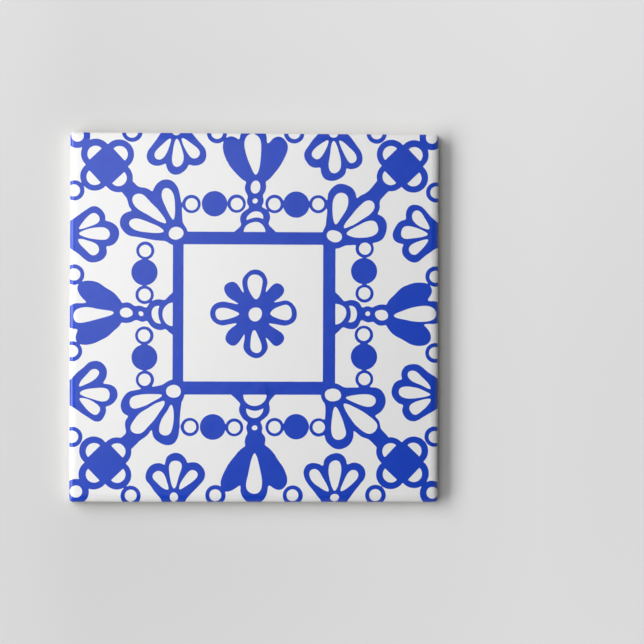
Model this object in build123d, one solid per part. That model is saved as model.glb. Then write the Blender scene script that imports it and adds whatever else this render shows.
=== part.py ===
"""A square glazed ceramic tile, dust-pressed and fired as one piece.

It lies on its keyed back with its glazed face up. The origin is the centre of the back, +Z points out of
the face and +Y is the top of the tile as it hangs on a wall. All sizes are in millimetres.
"""

import os
from math import cos, radians, sin, tan

from build123d import *

# The slab
FACE_SIDE = 152.4  # a nominal six inch tile
THICKNESS = 6.4
CORNER_RADIUS = 1.4  # the upright corners, seen in plan
SIDE_DRAFT = 1.5  # degrees, so that the pressed tile leaves its die
BACK_CHAMFER = 0.6  # broken edge round the back

# The cushion edge, a quarter ellipse round the face
CUSHION_REACH = 3.0  # how far in from the side it starts
CUSHION_DROP = 1.5  # how far it falls below the face
CUSHION_STEPS = 6  # spans of the loft along the quarter ellipse

# The keyed back, a waffle of shallow pockets that the adhesive grips
KEY_CELL = 14.0  # width of an inner pocket at its mouth
KEY_RIB = 3.0  # width of the rib between two pockets
KEY_RIM = 8.0  # width of the flat rim round the pockets
KEY_DEPTH = 0.9
KEY_DRAFT = 35.0  # degrees, the slope of a pocket's walls
KEY_CORNER = 2.0  # corner radius of a pocket at its mouth

SIDE_TOP = THICKNESS - CUSHION_DROP  # where the side ends and the cushion starts
SIDE_INSET = (SIDE_TOP - BACK_CHAMFER) * tan(radians(SIDE_DRAFT))


def outline(inset, height):
    """The tile's rounded square at one height, drawn in by inset on every side."""
    side = FACE_SIDE - 2 * inset
    return Pos(0, 0, height) * RectangleRounded(side, side, CORNER_RADIUS)


def make_side():
    """The lower slab: the broken back edge, then the drafted side."""
    back = outline(SIDE_INSET + BACK_CHAMFER, 0)
    chamfer_top = outline(SIDE_INSET, BACK_CHAMFER)
    widest = outline(0, SIDE_TOP)
    return loft([back, chamfer_top], ruled=True) + loft([chamfer_top, widest], ruled=True)


def make_cushion():
    """The upper slab, whose edge rolls over into the flat face along a quarter ellipse."""
    sections = []
    for step in range(CUSHION_STEPS + 1):
        turn = radians(90 * step / CUSHION_STEPS)
        inset = CUSHION_REACH * (1 - cos(turn))
        sections.append(outline(inset, SIDE_TOP + CUSHION_DROP * sin(turn)))
    return loft(sections)


def key_spans():
    """The centre and width of each column of pockets. The outermost two take up what is left to the rim."""
    field = FACE_SIDE - 2 * (SIDE_INSET + BACK_CHAMFER + KEY_RIM)
    pitch = KEY_CELL + KEY_RIB
    inner_count = round((field + KEY_RIB) / pitch) - 2
    outer_width = (field - inner_count * pitch - KEY_RIB) / 2
    outer_centre = (field - outer_width) / 2
    spans = [(-outer_centre, outer_width), (outer_centre, outer_width)]
    for index in range(inner_count):
        spans.append((pitch * (index - (inner_count - 1) / 2), KEY_CELL))
    return spans


def make_key():
    """The pockets of the keyed back, in columns and rows with the same spans."""
    pockets = []
    for x, width in key_spans():
        for y, length in key_spans():
            mouth = Pos(x, y) * RectangleRounded(width, length, KEY_CORNER)
            pockets.append(extrude(mouth, amount=KEY_DEPTH, taper=KEY_DRAFT))
    return pockets


def make_tile():
    """The whole tile as one solid."""
    return make_side() + make_cushion() - make_key()


tile = make_tile()
tile.label = "tile"
os.makedirs("parts", exist_ok=True)
export_step(tile, "parts/tile.step")
print("tile", round(tile.volume), "mm3,", len(tile.faces()), "faces,", len(tile.solids()), "solid")
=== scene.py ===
"""The looks of a square ceramic tile with a cobalt blue ornament, lying face up on a pale floor.

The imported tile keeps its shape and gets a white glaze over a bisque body. The ornament is one more piece, a
thin film of ink that lies on the face and rolls over the tile's cushion edge. It is drawn as a field of
distances to the edge of the ink, so that strokes run together as wet ink does, and then cut out as a mesh.
The drawing is in millimetres from the centre of the print, with +Y up. The scene is in metres.
"""

from math import acos, atan2, cos, pi, radians, sin, sqrt

import bpy
import numpy as np
from mathutils import Matrix, Vector
from mathutils.geometry import delaunay_2d_cdt


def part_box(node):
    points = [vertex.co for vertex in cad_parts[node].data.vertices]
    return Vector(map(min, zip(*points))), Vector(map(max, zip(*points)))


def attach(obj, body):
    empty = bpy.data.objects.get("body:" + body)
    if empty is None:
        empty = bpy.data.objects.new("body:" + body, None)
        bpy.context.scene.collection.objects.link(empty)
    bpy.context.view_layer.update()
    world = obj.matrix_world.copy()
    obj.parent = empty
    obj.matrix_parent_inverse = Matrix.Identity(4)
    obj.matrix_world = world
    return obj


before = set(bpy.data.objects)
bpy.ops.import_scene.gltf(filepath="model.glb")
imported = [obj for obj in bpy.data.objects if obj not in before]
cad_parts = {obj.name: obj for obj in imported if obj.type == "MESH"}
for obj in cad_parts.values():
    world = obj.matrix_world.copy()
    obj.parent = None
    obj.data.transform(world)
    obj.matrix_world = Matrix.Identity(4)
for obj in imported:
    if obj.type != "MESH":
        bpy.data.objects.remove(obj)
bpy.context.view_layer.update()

MM = 0.001  # metres in a millimetre

# The tile as packed, in millimetres
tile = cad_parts["tile"]
tile_low, tile_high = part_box("tile")
HALF_SIDE = (tile_high.x - tile_low.x) / 2 / MM
THICKNESS = (tile_high.z - tile_low.z) / MM
CORNER_RADIUS = 1.4  # the upright corners, seen in plan
CUSHION_REACH = 3.0  # the rounded edge is a quarter ellipse, this wide
CUSHION_DROP = 1.5  # and this high
SIDE_TOP = THICKNESS - CUSHION_DROP

# The film of ink
PRINT_CENTRE = (0.0, 1.5)  # from the tile's centre: the print sits a little high
PRINT_INSET = 0.12  # the ink stops this far in from the tile's side
INK_RISE = 0.03  # the film stands this far out of the glaze
INK_SINK = 0.05  # and reaches this far into it
GRID_STEP = 0.3  # of the field that the ink is drawn in
CUSHION_LINES = 10  # lines along the cushion edge that the film bends at
CORNER_POINTS = 9  # of such a line at each of the tile's corners
SAME_POINT = 1e-5  # points of the film closer than this are one
FILL_HULL = 0  # the kind of triangulation that fills all between the outermost points
SLOPE_STEP = 0.01  # for the slope of the face at a point

# The hand that painted it
HAND_SEED = 55
HAND_WAVES = ((42.0, 0.35), (17.0, 0.22), (7.0, 0.11))  # length and height of its slow and quick wobbles
WAVES_EACH = 3  # of each length, in directions of their own
PLACE_SPREAD = 0.50  # how far a motif is off its place
BEAD_SPREAD = 0.20  # how far a bead is off its place on the string
STRING_SPREAD = 0.80  # how far a string of beads has slid
SLIP_SPREAD = 0.15  # how far a white middle is off the middle of its ring
RING_SPREAD = 0.02  # share by which a ring or dot is too large or small
SIZE_SPREAD = 0.06  # share by which a petal is too long or short
WIDTH_SPREAD = 0.13  # share by which a petal is too wide or narrow
TURN_SPREAD = radians(3.0)
SWAY_SPREAD = radians(1.2)  # how far the white of a petal is turned in its border

# How far strokes run together where they meet
RULED_RUN = 0.15
BEAD_RUN = 0.35
PETAL_RUN = 1.0
STROKE_RUN = 1.4
LEAF_RUN = 2.0
DRAWN_REACH = 4.0  # how far from an outline its distances are worked out
FAR = 1000.0  # more than any distance on the tile

# The four sides, by the heading of their middle lines
SIDES = {"right": 0.0, "top": pi / 2, "left": pi, "bottom": 3 * pi / 2}
OPEN_HEARTS = ("top", "bottom")  # sides whose edge palmettes have a white heart
SOLID_CALYX = "bottom"  # the one side whose tulip has no white in its calyx

# The square frame round the centre, by its lower left and upper right corners. Its left bar is narrowest.
FRAME = ((-33.8, -33.3), (33.4, 33.9))
WINDOW = ((-29.4, -27.9), (28.3, 28.7))

# The three-petalled palmettes: those at the frame's corners and those along the tile's edge. The white of a
# petal starts and reaches so far from the heart. Its border is a lobe from the heart to a round end.
CORNER_PALMETTE = {
    "heart": (3.1, 2.7),
    "blob": 4.9,
    "root": 3.4,
    "fan": radians(33),
    "side": {"start": 5.3, "reach": 18.5, "half_width": 2.8, "end": 16.7, "end_radius": 5.6},
    "middle": {"start": 5.8, "reach": 22.6, "half_width": 3.15, "end": 18.9, "end_radius": 5.4},
}
EDGE_PALMETTE = {
    "heart": (1.8, 1.7),
    "blob": 4.9,
    "root": 4.7,
    "fan": radians(38),
    "side": {"start": 3.8, "reach": 13.8, "half_width": 2.3, "end": 12.1, "end_radius": 4.7},
    "middle": {"start": 3.2, "reach": 15.2, "half_width": 2.6, "end": 13.6, "end_radius": 5.0},
}
CORNER_HEART = 32.7  # from the print's middle lines to the heart of a corner palmette
EDGE_HEART_OUT = 75.4  # from the print's middle line out to the heart of an edge palmette
EDGE_HEART_ASIDE = 32.8

# The quatrefoils in the corners, with a neck to the palmette and a ring beyond
QUATREFOIL_PLACE = 61.3
LOBE_PLACE = 4.75
LOBE_RADIUS = 6.05
LOBE_HOLE = 3.42
DIAMOND_HALF = 9.45  # to where its sides would meet
DIAMOND_CORNER = 2.4  # rounds its tips off, so that they stay within the notches between the lobes
NECK_HALF_WIDTH = 3.2
NECK_OVERLAP = 1.0
CORNER_RING_PLACE = 73.4
CORNER_RING = (5.2, 2.5)  # outer and inner radius

# The tulips on the middle lines, from the frame outwards. Sizes are along the middle line, then across it.
FOOT_PLACE = 31.5  # within the frame's bar
FOOT_HALF_WIDTH = 10.7
NOTCH_PLACE = 36.9  # the foot narrows to a notch here, under the hood
NOTCH_HALF_WIDTH = 5.6
DOME_PLACE = 33.5
DOME_LINE = (6.4, 6.5)
DOME_HOLE = (4.6, 4.65)
HOOD_PLACE = 39.5
HOOD = (5.2, 6.2)
HOOD_HOLE = (3.2, 3.5)
WAIST_PLACE = 47.0
WAIST_RADIUS = 3.3
WAIST_HOLE = (1.07, 1.07)
CALYX_PLACE = 52.7
CALYX_RADIUS = 4.3
CALYX_HOLE = (2.5, 1.95)
TULIP_ROOT = 2.0
TULIP_PETAL = {"start": 5.0, "reach": 21.5, "half_width": 3.25, "end": 20.0, "end_radius": 5.3}
LEAF_TIP = (54.9, 3.0)  # out along the middle line, and aside
LEAF_END = (73.0, 11.2)
LEAF_HALF_WIDTH = 4.4

# Beads between the tulips and palmettes, and rings along the tile's edge
BEAD_LINES = {"right": 45.4, "top": 45.4, "left": 45.3, "bottom": 46.7}
BEAD_RING = (3.78, 2.54)
BEAD_RING_ASIDE = (8.2, 26.5)
BEAD_DOT = 5.35
BEAD_DOT_ASIDE = 17.2
EDGE_RING_LINE = 74.9
EDGE_RING = (4.2, 2.5)
EDGE_RING_ASIDE = (15.9, 50.4)

# The rosette in the centre
ROSETTE_PETALS = 4
ROSETTE_BLOB = 5.4
ROSETTE_HEART = (2.8, 2.7)
ROSETTE_ROOT = 2.4
ROSETTE_PETAL = {"start": 6.3, "reach": 15.4, "half_width": 2.9, "end": 12.6, "end_radius": 4.9}
ROSETTE_LEAF_TIP = 4.0
ROSETTE_LEAF_LENGTH = 12.6
ROSETTE_LEAF_HALF_WIDTH = 3.1

# Shape of a petal and of a leaf: how sharp its point is, and how square its round end
PETAL_SHAPE = (0.56, 6)
LEAF_SHAPE = (0.46, 2.7)
OVAL_POINTS = 40
PETAL_POINTS = 24  # along one edge

# Finishes, as linear colours
GLAZE_WHITE = (0.86, 0.86, 0.855, 1)
GLAZE_SHADE = (0.85, 0.852, 0.85, 1)
COBALT = (0.0040, 0.051, 0.52, 1)
COBALT_DEEP = (0.0025, 0.046, 0.48, 1)
BISQUE = (0.66, 0.62, 0.55, 1)
BISQUE_SHADE = (0.58, 0.53, 0.46, 1)
# The floor's colour is painted shade towards the left, where the key lamp lights it most, and painted light
# towards the right, where that lamp's light falls off
FLOOR_PAINTED_SHADE = (0.64, 0.64, 0.64, 1)
FLOOR_PAINTED_LIGHT = (0.92, 0.92, 0.92, 1)
BACKDROP = (0.82, 0.82, 0.82, 1)
GLAZE_ROUGHNESS = (0.24, 0.28)  # where the satin glaze is smoothest and where it is roughest
BISQUE_ROUGHNESS = 0.9
FLOOR_ROUGHNESS = 0.9

# Their detail, in millimetres
GLAZE_LINE = 3.2  # height on the side where the glaze ends
GLAZE_LINE_WAVE = 0.4  # how far that line wanders up and down
GLAZE_LINE_BLUR = 0.15
GLAZE_LINE_PATCH = 14.0  # the patches are the widths of slow changes over a surface
RELIEF = 0.06  # height of the glaze's faint orange peel and of the bisque's grain
PEEL_PATCH = 5.0
GRAIN_PATCH = 0.6
SATIN_PATCH = 28.0
WHITE_PATCH = 24.0
BISQUE_PATCH = 2.5
INK_PATCH = 11.0
SOFT_DETAIL = 2.0  # how much finer noise lies on a patch
FINE_DETAIL = 4.0
GRITTY_DETAIL = 6.0
SLOW_CHANGE = (0.1, 0.9)  # the span of noise over which a surface goes from one state to the other
QUICK_CHANGE = (0.3, 0.7)

# Sockets of a mix node, by place because their names repeat: two inputs and the output
MIX_NUMBERS = (2, 3, 0)
MIX_COLOURS = (6, 7, 2)

# Camera
IMAGE_AIM = (28.0, -1.7, 4.9)  # the point of the tile's plane in the middle of the picture, in millimetres
CAMERA_DISTANCE = 1.5
CAMERA_LEAN = (radians(-3.53), radians(-0.12))  # off the upright, towards +X and +Y
CAMERA_ROLL = radians(0.19)
CAMERA_LENS = 202.6
CAMERA_NEAREST = 0.01

# Light, in metres and watts: a long soft box on the left, a panel above whose sheen lies on the glaze, and
# one beyond the top edge that brightens its rim
KEY_PLACE = (-0.81, 0.09, 0.585)
KEY_SIZE = (1.65, 0.46)
KEY_POWER = 15.4
SHEEN_PLACE = (-0.28, 0.20, 0.92)
SHEEN_SIZE = (0.37, 0.74)
SHEEN_POWER = 2.5
RIM_PLACE = (-0.08, 0.64, 0.77)
RIM_SIZE = (0.32, 0.62)
RIM_POWER = 0.7
SKY_LIGHT = 0.015  # the even light that the sky throws
SKY_PALE = 0.80  # how pale it looks from the horizon up
SKY_DARK = 0.04  # and straight above
SKY_HEIGHTS = (0.60, 0.95)  # where it starts to darken and where it is darkest, as a share of straight up
FLOOR_HALF = 6.0  # half the floor's side
FLOOR_PAINTED_GRADE = (-0.07, 0.12)  # where the floor's colour starts to grow paler and where it is palest: painted shade to the left, painted light to the right
BACKDROP_REACH = (0.10, 0.36)  # where the floor starts to fade into the backdrop and where it is gone

rng = np.random.default_rng(HAND_SEED)


def near(value, spread):
    """A value as an unsteady hand gives it."""
    return value + rng.uniform(-spread, spread)


def oval(centre, half_length, half_width=None):
    """An oval, or a circle if only one size is given."""
    turn = np.linspace(0, 2 * pi, OVAL_POINTS, endpoint=False)
    sizes = np.array([half_length, half_width or half_length])
    return np.array(centre) + sizes * np.stack([np.cos(turn), np.sin(turn)], axis=1)


def lobe(start, end, start_radius, end_radius):
    """Two discs and what lies between their common tangents."""
    start = np.array(start)
    end = np.array(end)
    span = end - start
    heading = atan2(span[1], span[0])
    tangent = acos((start_radius - end_radius) / np.hypot(*span))
    front = heading + np.linspace(-tangent, tangent, OVAL_POINTS // 2)
    rear = heading + np.linspace(tangent, 2 * pi - tangent, OVAL_POINTS // 2)
    front_arc = end + end_radius * np.stack([np.cos(front), np.sin(front)], axis=1)
    rear_arc = start + start_radius * np.stack([np.cos(rear), np.sin(rear)], axis=1)
    return np.concatenate([front_arc, rear_arc])


def petal(tip, heading, length, half_width, shape=PETAL_SHAPE):
    """A drop with its point at the tip, fullest towards its round far end."""
    along = (1 - np.cos(np.linspace(0, pi, PETAL_POINTS))) / 2
    width = along ** shape[0] * np.sqrt(1 - along ** shape[1])
    width *= half_width / width.max()
    one_side = np.stack([along * length, width], axis=1)
    other_side = one_side[-2:0:-1] * np.array([1, -1])
    return moved(np.concatenate([one_side, other_side]), tip, heading)


def rectangle(low, high):
    """A rectangle between two opposite corners."""
    return np.array([(high[0], high[1]), (low[0], high[1]), (low[0], low[1]), (high[0], low[1])], float)


def square(half):
    """A square about the centre."""
    return rectangle((-half, -half), (half, half))


def rounded_square(half, radius):
    """A square about the centre with round corners."""
    arcs = []
    for quarter, corner in enumerate(square(half - radius)):
        turn = np.linspace(quarter, quarter + 1, OVAL_POINTS // 4) * pi / 2
        arcs.append(corner + radius * np.stack([np.cos(turn), np.sin(turn)], axis=1))
    return np.concatenate(arcs)


def moved(outline, origin, heading=0.0, size=1.0):
    """An outline turned and scaled about its own origin and moved to another."""
    turn = np.array([(cos(heading), sin(heading)), (-sin(heading), cos(heading))])
    return size * outline @ turn + np.array(origin)


def polar(heading, reach):
    """A point by its direction and distance from the centre."""
    return np.array([reach * cos(heading), reach * sin(heading)])


def distance_to(outline, x, y):
    """Signed distances from points to a closed outline, negative inside it."""
    nearest = np.full(x.shape, FAR * FAR)
    inside = np.zeros(x.shape, bool)
    for (start_x, start_y), (end_x, end_y) in zip(outline, np.roll(outline, -1, axis=0)):
        edge_x = end_x - start_x
        edge_y = end_y - start_y
        from_x = x - start_x
        from_y = y - start_y
        along = (from_x * edge_x + from_y * edge_y) / (edge_x**2 + edge_y**2)
        along = np.clip(along, 0, 1)
        nearest = np.minimum(nearest, (from_x - along * edge_x) ** 2 + (from_y - along * edge_y) ** 2)
        crosses = (start_y > y) != (end_y > y)
        on_left = edge_x * from_y - edge_y * from_x > 0
        inside ^= crosses & (on_left == (end_y > start_y))
    return np.where(inside, -1.0, 1.0) * np.sqrt(nearest)


def hand_drift(x, y):
    """How far the painter's hand is off at each point, along one axis."""
    drift = np.zeros(x.shape)
    for length, height in HAND_WAVES:
        for _ in range(WAVES_EACH):
            heading, phase = rng.uniform(0, 2 * pi, 2)
            drift += height / sqrt(WAVES_EACH) * np.sin(
                2 * pi / length * (x * cos(heading) + y * sin(heading)) + phase
            )
    return drift


def edge_inset(x, y):
    """How far a point of the tile lies in from its rounded square outline."""
    x = np.abs(x)
    y = np.abs(y)
    slant = np.minimum(np.abs(x - y), CORNER_RADIUS)
    corner = CORNER_RADIUS + (x + y - np.sqrt(2 * CORNER_RADIUS**2 - slant**2)) / 2
    return HALF_SIDE - np.where(np.abs(x - y) < CORNER_RADIUS, corner, np.maximum(x, y))


def face_height(x, y):
    """Height of the tile's glazed face: flat, then falling along the cushion edge."""
    fall = np.clip(1 - edge_inset(x, y) / CUSHION_REACH, 0, 1)
    return SIDE_TOP + CUSHION_DROP * np.sqrt(1 - fall**2)


class Drawing:
    """Signed distances to the edge of the ink on a square grid over the tile, negative in the ink."""

    def __init__(self):
        ticks = np.arange(-HALF_SIDE - GRID_STEP, HALF_SIDE + 2 * GRID_STEP, GRID_STEP)
        self.columns = ticks - PRINT_CENTRE[0]
        self.rows = ticks - PRINT_CENTRE[1]
        self.x, self.y = np.meshgrid(self.columns, self.rows)
        self.hand_x = self.x + hand_drift(self.x, self.y)
        self.hand_y = self.y + hand_drift(self.x, self.y)
        self.ink = np.full(self.x.shape, FAR)
        self.holes = []

    def distances(self, outline, steady=False):
        """The part of the grid near an outline, and its distances there."""
        low = outline.min(axis=0) - DRAWN_REACH
        high = outline.max(axis=0) + DRAWN_REACH
        across = slice(*np.searchsorted(self.columns, (low[0], high[0])))
        along = slice(*np.searchsorted(self.rows, (low[1], high[1])))
        spot = (along, across)
        if steady:
            return spot, distance_to(outline, self.x[spot], self.y[spot])
        return spot, distance_to(outline, self.hand_x[spot], self.hand_y[spot])

    def paint(self, outline, run=STROKE_RUN, steady=False):
        """Fills an outline with ink, which runs together with the ink beside it."""
        spot, shape = self.distances(outline, steady)
        ink = self.ink[spot]
        meet = np.maximum(run - np.abs(ink - shape), 0) / run
        self.ink[spot] = np.minimum(ink, shape) - meet**2 * run / 4

    def clear(self, outline, steady=False):
        """Takes the ink out of an outline."""
        spot, shape = self.distances(outline, steady)
        self.ink[spot] = np.maximum(self.ink[spot], -shape)

    def leave_hole(self, outline, steady=False):
        """Keeps an outline to be cleared once all the ink is on."""
        self.holes.append((outline, steady))

    def clear_holes(self):
        """Clears the holes that were left for later."""
        for outline, steady in self.holes:
            self.clear(outline, steady)
        self.holes = []

    def dot(self, centre, radius, spread):
        """A round bead. Returns its place and the share by which its size is off."""
        centre = near_place(centre, spread)
        size = near(1, RING_SPREAD)
        self.paint(oval(centre, size * radius), BEAD_RUN, steady=True)
        return centre, size

    def ring(self, centre, radii, spread):
        """A bead with a white middle."""
        centre, size = self.dot(centre, radii[0], spread)
        self.leave_hole(oval(near_place(centre, SLIP_SPREAD), size * radii[1]), steady=True)


def near_place(point, spread):
    """A place as an unsteady hand finds it."""
    return np.array([near(point[0], spread), near(point[1], spread)])


def side_point(side, out, aside):
    """A point by its distance out along a side's middle line, and aside from that line."""
    return moved(np.array([out, aside]), (0, 0), side)


def draw_petal(drawing, heart, heading, root, sizes, run=PETAL_RUN):
    """A white petal in a border that runs from a heart to a round end."""
    size = near(1, SIZE_SPREAD)
    heading = near(heading, TURN_SPREAD)
    end = heart + polar(heading, size * sizes["end"])
    drawing.paint(lobe(heart, end, root, sizes["end_radius"] * near(1, SIZE_SPREAD)), run)
    heading = near(heading, SWAY_SPREAD)
    tip = heart + polar(heading, sizes["start"])
    length = size * sizes["reach"] - sizes["start"]
    drawing.leave_hole(petal(tip, heading, length, sizes["half_width"] * near(1, WIDTH_SPREAD)))


def draw_palmette(drawing, heart, heading, sizes):
    """Three petals that fan out from a heart. Returns the outline of the heart's white middle."""
    heart = near_place(heart, PLACE_SPREAD)
    drawing.paint(oval(heart, sizes["blob"]), PETAL_RUN)
    for step in (-1, 0, 1):
        part = sizes["side"] if step else sizes["middle"]
        draw_petal(drawing, heart, heading + step * sizes["fan"], sizes["root"], part)
    return oval(heart, *sizes["heart"])


def draw_quatrefoil(drawing, heading):
    """Four hooped lobes under a solid diamond, joined to the palmette and with a ring beyond."""
    centre = near_place(polar(heading, QUATREFOIL_PLACE * sqrt(2)), PLACE_SPREAD)
    inner_lobe = polar(heading, (QUATREFOIL_PLACE - LOBE_PLACE) * sqrt(2) - LOBE_RADIUS + NECK_OVERLAP)
    palmette_end = polar(heading, CORNER_HEART * sqrt(2) + CORNER_PALMETTE["middle"]["reach"])
    drawing.paint(lobe(palmette_end, inner_lobe, NECK_HALF_WIDTH, NECK_HALF_WIDTH))
    turn = near(0, TURN_SPREAD)
    lobes = moved(square(LOBE_PLACE), centre, turn)
    for spot in lobes:
        drawing.dot(spot, LOBE_RADIUS, BEAD_SPREAD)
    for spot in lobes:
        drawing.clear(oval(near_place(spot, BEAD_SPREAD), LOBE_HOLE), steady=True)
    diamond = rounded_square(DIAMOND_HALF / sqrt(2), DIAMOND_CORNER)
    drawing.paint(moved(diamond, centre, turn + pi / 4), RULED_RUN, steady=True)
    drawing.ring(polar(heading, CORNER_RING_PLACE * sqrt(2)), CORNER_RING, PLACE_SPREAD)


def draw_tulip(drawing, side, open_calyx):
    """A hooded foot on the frame, a waist, a calyx, and a petal between two solid leaves."""
    def spot(out, aside=0.0):
        return side_point(side, out, aside)

    def turned_oval(place, sizes):
        return moved(oval((0, 0), *sizes), place, side)

    foot = [
        (FOOT_PLACE, FOOT_HALF_WIDTH),
        (NOTCH_PLACE, NOTCH_HALF_WIDTH),
        (NOTCH_PLACE, -NOTCH_HALF_WIDTH),
        (FOOT_PLACE, -FOOT_HALF_WIDTH),
    ]
    drawing.paint(np.array([spot(*corner) for corner in foot]))
    drawing.paint(turned_oval(spot(HOOD_PLACE), HOOD), PETAL_RUN)
    drawing.leave_hole(turned_oval(spot(HOOD_PLACE), HOOD_HOLE))
    drawing.paint(oval(spot(WAIST_PLACE), WAIST_RADIUS))
    drawing.leave_hole(turned_oval(near_place(spot(WAIST_PLACE), SLIP_SPREAD), WAIST_HOLE))
    drawing.paint(oval(spot(CALYX_PLACE), CALYX_RADIUS))
    if open_calyx:
        drawing.leave_hole(turned_oval(near_place(spot(CALYX_PLACE), SLIP_SPREAD), CALYX_HOLE))
    for hand in (-1, 1):
        tip = spot(LEAF_TIP[0], hand * LEAF_TIP[1])
        span = near_place(spot(LEAF_END[0], hand * LEAF_END[1]), PLACE_SPREAD) - tip
        half_width = LEAF_HALF_WIDTH * near(1, SIZE_SPREAD)
        leaf = petal(tip, atan2(span[1], span[0]), np.hypot(*span), half_width, LEAF_SHAPE)
        drawing.paint(leaf, PETAL_RUN)
    draw_petal(drawing, spot(CALYX_PLACE), side, TULIP_ROOT, TULIP_PETAL, LEAF_RUN)


def draw_dome(drawing, side):
    """The white dome in a tulip's foot, whose line of ink lies over the hood's white."""
    place = side_point(side, DOME_PLACE, 0.0)
    drawing.paint(moved(oval((0, 0), *DOME_LINE), place, side), RULED_RUN)
    drawing.clear(moved(oval((0, 0), *DOME_HOLE), place, side))


def draw_beads(drawing, side, bead_line):
    """The string of beads on both sides of a tulip, and the rings along the tile's edge."""
    for hand in (-1, 1):
        slide = near(0, STRING_SPREAD)
        for aside in BEAD_RING_ASIDE:
            drawing.ring(side_point(side, bead_line, hand * aside + slide), BEAD_RING, BEAD_SPREAD)
        drawing.dot(side_point(side, bead_line, hand * BEAD_DOT_ASIDE + slide), BEAD_DOT, BEAD_SPREAD)
        for aside in EDGE_RING_ASIDE:
            drawing.ring(side_point(side, EDGE_RING_LINE, hand * aside), EDGE_RING, PLACE_SPREAD)


def draw_rosette(drawing):
    """Four bordered petals with solid leaves between them, in the middle of the frame."""
    centre = np.zeros(2)
    steps = [2 * pi * step / ROSETTE_PETALS for step in range(ROSETTE_PETALS)]
    for turn in steps:
        heading = near(turn + pi / ROSETTE_PETALS, TURN_SPREAD)
        tip = polar(heading, ROSETTE_LEAF_TIP)
        drawing.paint(petal(tip, heading, ROSETTE_LEAF_LENGTH, ROSETTE_LEAF_HALF_WIDTH), PETAL_RUN)
    for turn in steps:
        draw_petal(drawing, centre, turn, ROSETTE_ROOT, ROSETTE_PETAL)
    drawing.paint(oval(centre, ROSETTE_BLOB), PETAL_RUN)
    drawing.leave_hole(oval(centre, *ROSETTE_HEART))


def draw_frame(drawing):
    """The square frame, with straight ruled edges and a clear window."""
    drawing.paint(rectangle(*FRAME), RULED_RUN, steady=True)
    drawing.clear(rectangle(*WINDOW), steady=True)


def draw_ornament():
    """The whole print, as signed distances to the edge of its ink."""
    drawing = Drawing()
    for name, side in SIDES.items():
        draw_tulip(drawing, side, name != SOLID_CALYX)
        draw_beads(drawing, side, BEAD_LINES[name])
        for hand in (-1, 1):
            heart = side_point(side, EDGE_HEART_OUT, hand * EDGE_HEART_ASIDE)
            middle = draw_palmette(drawing, heart, side + pi, EDGE_PALMETTE)
            if name in OPEN_HEARTS:
                drawing.leave_hole(middle)
    hearts = []
    for side in SIDES.values():
        corner = side + pi / 4
        heart = polar(corner, CORNER_HEART * sqrt(2))
        hearts.append(draw_palmette(drawing, heart, corner, CORNER_PALMETTE))
        draw_quatrefoil(drawing, corner)
    drawing.clear_holes()

    # The frame lies over the feet of the tulips, and the corner hearts over the frame
    for side in SIDES.values():
        draw_dome(drawing, side)
    draw_frame(drawing)
    for middle in hearts:
        drawing.clear(middle)
    draw_rosette(drawing)
    drawing.clear_holes()
    tile_x = drawing.x + PRINT_CENTRE[0]
    tile_y = drawing.y + PRINT_CENTRE[1]
    drawing.ink = np.maximum(drawing.ink, PRINT_INSET - edge_inset(tile_x, tile_y))
    return drawing, tile_x, tile_y


def ink_edge(ink, x, y):
    """The line round the ink: points where it crosses the grid, and edges that join them cell by cell."""
    inside = ink < 0
    level = np.full((ink.shape[0], ink.shape[1] - 1), -1)
    upright = np.full((ink.shape[0] - 1, ink.shape[1]), -1)
    level_crossed = inside[:, :-1] != inside[:, 1:]
    upright_crossed = inside[:-1] != inside[1:]
    level[level_crossed] = np.arange(level_crossed.sum())
    upright[upright_crossed] = level_crossed.sum() + np.arange(upright_crossed.sum())

    def crossings(values):
        share = ink[:, :-1] / (ink[:, :-1] - ink[:, 1:])
        on_level = (values[:, :-1] + share * (values[:, 1:] - values[:, :-1]))[level_crossed]
        share = ink[:-1] / (ink[:-1] - ink[1:])
        on_upright = (values[:-1] + share * (values[1:] - values[:-1]))[upright_crossed]
        return np.concatenate([on_level, on_upright])

    with np.errstate(divide="ignore", invalid="ignore"):
        points = np.stack([crossings(x), crossings(y)], axis=1)

    # Round each cell: its bottom, right, top and left edges
    cells = np.stack([level[:-1], upright[:, 1:], level[1:], upright[:, :-1]], axis=-1).reshape(-1, 4)
    count = (cells >= 0).sum(axis=1)
    simple = cells[count == 2]
    edges = [simple[simple >= 0].reshape(-1, 2)]
    saddles = cells[count == 4]
    middle = (ink[:-1, :-1] + ink[:-1, 1:] + ink[1:, :-1] + ink[1:, 1:]).reshape(-1)[count == 4] < 0
    joined = middle == inside[:-1, :-1].reshape(-1)[count == 4]
    first = np.where(joined[:, None], saddles[:, [0, 1]], saddles[:, [3, 0]])
    second = np.where(joined[:, None], saddles[:, [2, 3]], saddles[:, [1, 2]])
    edges += [first, second]
    return points, np.concatenate(edges)


def cushion_lines():
    """Rounded squares along the cushion edge, as points and edges, for the film to bend at."""
    first_turn = acos(1 - PRINT_INSET / CUSHION_REACH)
    points = []
    edges = []
    quarter = np.linspace(0, pi / 2, CORNER_POINTS)
    for turn in np.linspace(first_turn, pi / 2, CUSHION_LINES + 1)[1:]:
        middle = HALF_SIDE - CUSHION_REACH * (1 - cos(turn)) - CORNER_RADIUS
        start = len(points)
        for corner in range(4):
            arc = quarter + corner * pi / 2
            centre = middle * sqrt(2) * np.array([cos(arc.mean()), sin(arc.mean())])
            points += list(centre + CORNER_RADIUS * np.stack([np.cos(arc), np.sin(arc)], axis=1))
        count = len(points) - start
        edges += [(start + index, start + (index + 1) % count) for index in range(count)]
    return np.array(points), np.array(edges)


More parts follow.
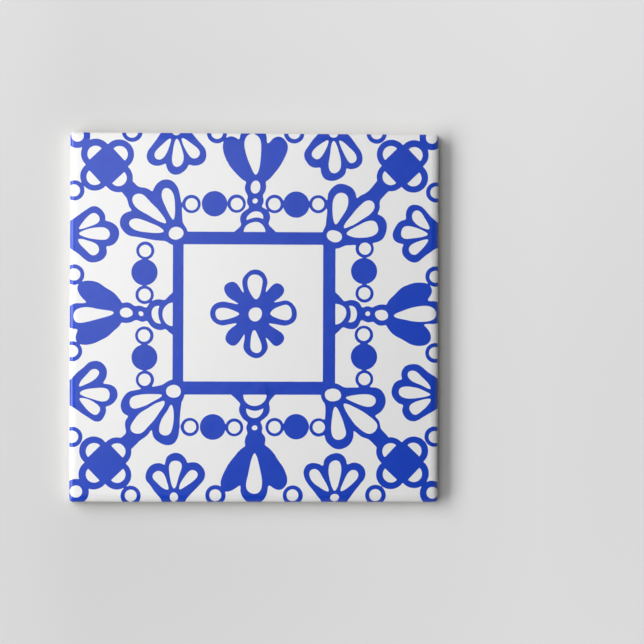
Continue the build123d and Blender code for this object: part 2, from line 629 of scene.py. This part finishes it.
def make_film():
    """The print as a closed film of ink, with its walls, that follows the tile's face."""
    drawing, tile_x, tile_y = draw_ornament()
    ink_points, ink_edges = ink_edge(drawing.ink, tile_x, tile_y)
    line_points, line_edges = cushion_lines()
    points = np.concatenate([ink_points, line_points])
    edges = np.concatenate([ink_edges, line_edges + len(ink_points)])
    flat = delaunay_2d_cdt([Vector(p) for p in points], edges.tolist(), [], FILL_HULL, SAME_POINT, False)
    corners = np.array([tuple(p) for p in flat[0]])
    triangles = np.array(flat[2])

    # Keep the triangles whose middle is in the ink
    middle = corners[triangles].mean(axis=1)
    triangles = triangles[sampled(drawing.ink, tile_x, tile_y, middle) < 0]
    used, triangles = np.unique(triangles, return_inverse=True)
    return closed_film(corners[used], triangles.reshape(-1, 3))


def sampled(values, x, y, points):
    """A grid's values at points between its crossings."""
    column = (points[:, 0] - x[0, 0]) / GRID_STEP
    row = (points[:, 1] - y[0, 0]) / GRID_STEP
    left = np.clip(column.astype(int), 0, values.shape[1] - 2)
    low = np.clip(row.astype(int), 0, values.shape[0] - 2)
    right_share = column - left
    high_share = row - low
    below = values[low, left] * (1 - right_share) + values[low, left + 1] * right_share
    above = values[low + 1, left] * (1 - right_share) + values[low + 1, left + 1] * right_share
    return below * (1 - high_share) + above * high_share


def closed_film(plan, triangles):
    """A thin solid over a triangulated plan: a top just out of the face, a bottom in it, and walls."""
    x = plan[:, 0]
    y = plan[:, 1]
    slope_x = (face_height(x + SLOPE_STEP, y) - face_height(x - SLOPE_STEP, y)) / (2 * SLOPE_STEP)
    slope_y = (face_height(x, y + SLOPE_STEP) - face_height(x, y - SLOPE_STEP)) / (2 * SLOPE_STEP)
    normal = np.stack([-slope_x, -slope_y, np.ones(len(plan))], axis=1)
    normal /= np.linalg.norm(normal, axis=1, keepdims=True)
    face = np.stack([x, y, face_height(x, y)], axis=1)
    verts = MM * np.concatenate([face + INK_RISE * normal, face - INK_SINK * normal])

    below = len(plan)
    walls = []
    sharp = set()
    for start, end in boundary(triangles):
        walls.append((start, start + below, end + below, end))
        sharp.add(tuple(sorted((start, end))))
        sharp.add(tuple(sorted((start + below, end + below))))
    faces = triangles.tolist() + (triangles[:, ::-1] + below).tolist() + walls

    mesh = bpy.data.meshes.new("cobalt_print")
    mesh.from_pydata(verts.tolist(), [], faces)
    mesh.polygons.foreach_set("use_smooth", [True] * len(faces))
    for edge in mesh.edges:
        edge.use_edge_sharp = tuple(sorted(edge.vertices)) in sharp
    mesh.validate()
    film = bpy.data.objects.new("cobalt_print", mesh)
    bpy.context.scene.collection.objects.link(film)
    return film


def boundary(triangles):
    """The directed edges that only one triangle has."""
    sides = np.concatenate([triangles[:, [0, 1]], triangles[:, [1, 2]], triangles[:, [2, 0]]])
    known = set(map(tuple, sides.tolist()))
    return [(start, end) for start, end in known if (end, start) not in known]


class Finish:
    """The shader nodes of a material or a sky, which are added and joined one by one."""

    def __init__(self, owner, shader="Principled BSDF", place="Object"):
        owner.use_nodes = True
        self.owner = owner
        self.tree = owner.node_tree
        self.shader = self.tree.nodes[shader]
        self.place = self.add("ShaderNodeTexCoord").outputs[place]

    def add(self, kind, inputs=None, **settings):
        """A new node with its settings, and its inputs set or joined."""
        node = self.tree.nodes.new(kind)
        for name, value in settings.items():
            setattr(node, name, value)
        for name, value in (inputs or {}).items():
            self.put(node, name, value)
        return node

    def put(self, node, name, value):
        """Sets one input of a node, or joins another node's output to it."""
        if isinstance(value, bpy.types.NodeSocket):
            self.tree.links.new(value, node.inputs[name])
        else:
            node.inputs[name].default_value = value

    def noise(self, size, detail=SOFT_DETAIL):
        """Cloudy noise whose patches are about this many millimetres across."""
        node = self.add(
            "ShaderNodeTexNoise", {"Vector": self.place, "Scale": 1 / (size * MM), "Detail": detail}
        )
        return node.outputs["Fac"]

    def ramp(self, value, low, high, to_low=0.0, to_high=1.0):
        """A value carried from one range to another, and held at its ends."""
        inputs = {"Value": value, "From Min": low, "From Max": high, "To Min": to_low, "To Max": to_high}
        return self.add("ShaderNodeMapRange", inputs).outputs["Result"]

    def mix(self, kind, sockets, share, first, second):
        """Two values of one kind mixed by a share."""
        inputs = {0: share, sockets[0]: first, sockets[1]: second}
        return self.add("ShaderNodeMix", data_type=kind, inputs=inputs).outputs[sockets[2]]

    def mixed(self, share, first, second):
        """Two colours mixed by a share."""
        return self.mix("RGBA", MIX_COLOURS, share, first, second)

    def blend(self, share, first, second):
        """Two numbers mixed by a share."""
        return self.mix("FLOAT", MIX_NUMBERS, share, first, second)

    def larger(self, first, second):
        """The larger of two numbers."""
        return self.add("ShaderNodeMath", {0: first, 1: second}, operation="MAXIMUM").outputs[0]

    def bump(self, height):
        """Fine relief of the surface."""
        return self.add("ShaderNodeBump", {"Height": height, "Distance": RELIEF * MM}).outputs["Normal"]

    def height(self):
        """How far up a point or direction is."""
        return self.add("ShaderNodeSeparateXYZ", {"Vector": self.place}).outputs["Z"]

    def seen(self):
        """1 for rays along which the camera or a mirror looks, 0 for those that only bring light."""
        path = self.add("ShaderNodeLightPath").outputs
        mirrored = self.larger(path["Is Glossy Ray"], path["Is Transmission Ray"])
        return self.larger(path["Is Camera Ray"], mirrored)


def glaze_roughness(finish):
    """The satin of the glaze, a little uneven."""
    return finish.ramp(finish.noise(SATIN_PATCH), *SLOW_CHANGE, *GLAZE_ROUGHNESS)


def make_tile_finish():
    """White satin glaze on the face and upper side, bisque below it and on the back."""
    finish = Finish(bpy.data.materials.new("white_glaze"))
    wave_range = (-GLAZE_LINE_WAVE * MM, GLAZE_LINE_WAVE * MM)
    wave = finish.ramp(finish.noise(GLAZE_LINE_PATCH), *QUICK_CHANGE, *wave_range)
    waved = finish.add("ShaderNodeMath", {0: finish.height(), 1: wave}, operation="ADD").outputs[0]
    glazed = finish.ramp(waved, (GLAZE_LINE - GLAZE_LINE_BLUR) * MM, (GLAZE_LINE + GLAZE_LINE_BLUR) * MM)
    pale = finish.ramp(finish.noise(WHITE_PATCH), *SLOW_CHANGE)
    white = finish.mixed(pale, GLAZE_WHITE, GLAZE_SHADE)
    gritty = finish.ramp(finish.noise(BISQUE_PATCH, GRITTY_DETAIL), *QUICK_CHANGE)
    clay = finish.mixed(gritty, BISQUE, BISQUE_SHADE)
    finish.put(finish.shader, "Base Color", finish.mixed(glazed, clay, white))
    finish.put(finish.shader, "Roughness", finish.blend(glazed, BISQUE_ROUGHNESS, glaze_roughness(finish)))
    relief = finish.blend(glazed, finish.noise(GRAIN_PATCH, FINE_DETAIL), finish.noise(PEEL_PATCH))
    finish.put(finish.shader, "Normal", finish.bump(relief))
    return finish.owner


def make_ink_finish():
    """Cobalt ink under the same satin glaze, a little denser in places."""
    finish = Finish(bpy.data.materials.new("cobalt_print"))
    dense = finish.ramp(finish.noise(INK_PATCH, FINE_DETAIL), *QUICK_CHANGE)
    finish.put(finish.shader, "Base Color", finish.mixed(dense, COBALT, COBALT_DEEP))
    finish.put(finish.shader, "Roughness", glaze_roughness(finish))
    finish.put(finish.shader, "Normal", finish.bump(finish.noise(PEEL_PATCH)))
    return finish.owner


def make_floor():
    """A wide pale floor under the tile, which fades into a backdrop far away from it. Its colour holds
    painted shade near the key lamp and painted light away from it.
    """
    mesh = bpy.data.meshes.new("floor")
    mesh.from_pydata([(x, y, 0.0) for x, y in square(FLOOR_HALF)], [], [(0, 1, 2, 3)])
    floor = bpy.data.objects.new("floor", mesh)
    bpy.context.scene.collection.objects.link(floor)
    finish = Finish(bpy.data.materials.new("pale_floor"))
    # Painted shade and painted light: the floor's colour grows paler away from the key lamp, to even out its
    # light
    across = finish.add("ShaderNodeSeparateXYZ", {"Vector": finish.place}).outputs["X"]
    painted_grade = finish.ramp(across, *FLOOR_PAINTED_GRADE)
    finish.put(finish.shader, "Base Color", finish.mixed(painted_grade, FLOOR_PAINTED_SHADE, FLOOR_PAINTED_LIGHT))
    finish.put(finish.shader, "Roughness", FLOOR_ROUGHNESS)

    # Far off, the camera and mirrors see an even backdrop in place of the lit floor
    reach = finish.add("ShaderNodeVectorMath", {0: finish.place}, operation="LENGTH").outputs["Value"]
    far = finish.ramp(reach, *BACKDROP_REACH)
    share = finish.add("ShaderNodeMath", {0: finish.seen(), 1: far}, operation="MULTIPLY").outputs[0]
    backdrop = finish.add("ShaderNodeEmission", {"Color": BACKDROP}).outputs[0]
    lit = finish.shader.outputs[0]
    surface = finish.add("ShaderNodeMixShader", {0: share, 1: lit, 2: backdrop}).outputs[0]
    finish.put(finish.tree.nodes["Material Output"], "Surface", surface)
    floor.data.materials.append(finish.owner)
    return floor


def make_camera():
    """A long lens straight above the tile, a touch to its left."""
    aim = MM * Vector(IMAGE_AIM)
    lean = Vector((sin(CAMERA_LEAN[0]), sin(CAMERA_LEAN[1]), 0))
    back = Vector((lean.x, lean.y, sqrt(1 - lean.length_squared)))
    right = Vector((0, 1, 0)).cross(back).normalized()
    up = back.cross(right)
    turned_right = cos(CAMERA_ROLL) * right + sin(CAMERA_ROLL) * up
    turned_up = cos(CAMERA_ROLL) * up - sin(CAMERA_ROLL) * right
    camera = bpy.data.objects.new("camera", bpy.data.cameras.new("camera"))
    camera.data.lens = CAMERA_LENS
    camera.data.clip_start = CAMERA_NEAREST
    camera.matrix_world = Matrix.Translation(aim + CAMERA_DISTANCE * back) @ (
        Matrix((turned_right, turned_up, back)).transposed().to_4x4()
    )
    bpy.context.scene.collection.objects.link(camera)
    bpy.context.scene.camera = camera


def make_lamp(name, place, size, power):
    """A soft box aimed at the tile, by its width and height. The camera doesn't see it."""
    lamp = bpy.data.lights.new(name, "AREA")
    lamp.shape = "RECTANGLE"
    lamp.size = size[0]
    lamp.size_y = size[1]
    lamp.energy = power
    box = bpy.data.objects.new(name, lamp)
    box.location = place
    box.rotation_euler = Vector(place).to_track_quat("Z", "Y").to_euler()
    box.visible_camera = False
    bpy.context.scene.collection.objects.link(box)


def make_sky():
    """A sky that throws an even light. Where it is seen or mirrored it is pale, and dark straight above."""
    sky = Finish(bpy.data.worlds.new("sky"), "Background", "Generated")
    level = sky.ramp(sky.height(), *SKY_HEIGHTS, SKY_PALE, SKY_DARK)
    sky.put(sky.shader, "Strength", sky.blend(sky.seen(), SKY_LIGHT, level))
    sky.put(sky.shader, "Color", (1, 1, 1, 1))
    bpy.context.scene.world = sky.owner


tile.data.materials.clear()
tile.data.materials.append(make_tile_finish())
film = make_film()
film.data.materials.append(make_ink_finish())
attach(film, "root")
make_floor()
make_camera()
make_lamp("key", KEY_PLACE, KEY_SIZE, KEY_POWER)
make_lamp("sheen", SHEEN_PLACE, SHEEN_SIZE, SHEEN_POWER)
make_lamp("rim", RIM_PLACE, RIM_SIZE, RIM_POWER)
make_sky()
bpy.context.scene.view_settings.view_transform = "Standard"
